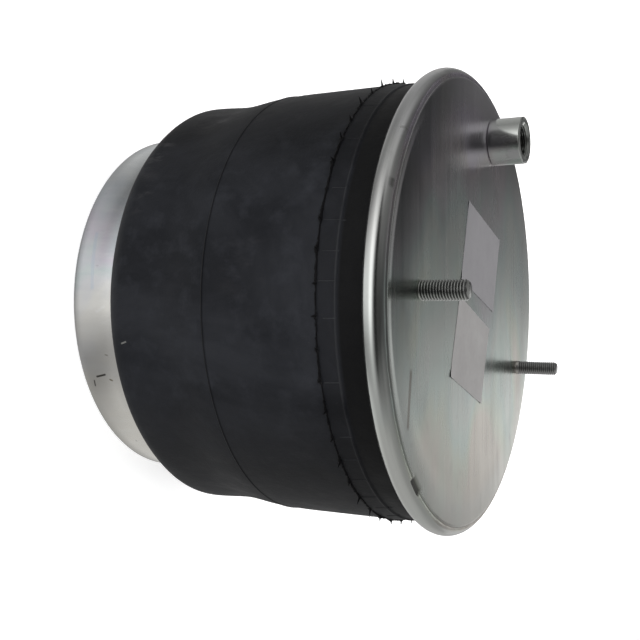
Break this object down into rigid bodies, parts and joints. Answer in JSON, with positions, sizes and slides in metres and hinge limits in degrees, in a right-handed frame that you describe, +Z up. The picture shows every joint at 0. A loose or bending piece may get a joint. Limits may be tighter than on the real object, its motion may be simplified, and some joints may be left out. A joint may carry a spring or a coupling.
{
  "type": "air suspension spring",
  "caption": "Rolling-lobe air spring: rubber bellows crimped to a plated top plate with studs and an air port, over a steel piston.",
  "frame": {"origin": "centre of the piston's foot, on the plane that it stands on", "axes": "+Z up along the spring's axis, from the piston to the top plate; -Y faces the picture's camera and +X is the side away from the air port"},
  "size_m": [0.3, 0.3, 0.26],
  "materials": {
    "zinc_plate": "zinc-plated sheet with rolling streaks and a faint tint",
    "piston_zinc": "zinc-plated drawn sheet, satin",
    "stud_steel": "bright plated thread",
    "stud_dark": "dark plated thread",
    "boss_steel": "turned and plated",
    "bolt_steel": "phosphated",
    "label_paper": "pale blank label",
    "bellows_rubber": "matte moulded rubber with mould marks",
    "bump_rubber": "matte moulded rubber",
    "bead_wire": "bronze-coated steel wire"
  },
  "bodies": {
    "piston": {"piston_shell": "piston_zinc", "piston_base_plate": "zinc_plate", "support_tube": "bolt_steel", "piston_mounting_boss": "boss_steel", "weld_nut": "bolt_steel", "clamp_bolt": "bolt_steel", "bolt_washer": "boss_steel", "bead_clamp_plate": "zinc_plate", "bump_stop_plate": "bolt_steel", "bump_stop": "bump_rubber", "lower_bead": "bellows_rubber", "lower_bead_core": "bead_wire", "bellows_inner_wall": "bellows_rubber"},
    "lobe": {"bellows_lobe": "bellows_rubber"},
    "plate": {"top_plate": "zinc_plate", "mounting_stud": "stud_steel", "locating_stud": "stud_dark", "air_port_boss": "boss_steel", "label_upper": "label_paper", "label_lower": "label_paper", "upper_bead": "bellows_rubber", "upper_bead_core": "bead_wire", "bellows_collar": "bellows_rubber", "bellows_upper_wall": "bellows_rubber", "bellows_lower_wall": "bellows_rubber"}
  },
  "joints": [
    {"name": "lobe_roll", "type": "slide", "parent": "piston", "child": "lobe", "axis": [0, 0, 1], "range_m": [-0.025, 0.045], "stiffness_N_per_m": 18000, "springref_m": 0.0025, "deforming": ["bellows_inner_wall", "bellows_lobe"]},
    {"name": "plate_stroke", "type": "slide", "parent": "lobe", "child": "plate", "axis": [0, 0, 1], "range_m": [-0.025, 0.045], "stiffness_N_per_m": 18000, "springref_m": 0.0025, "deforming": ["bellows_lower_wall"]}
  ],
  "couplings": [
    {"joint": "plate_stroke", "follows": "lobe_roll", "ratio": 1}
  ]
}
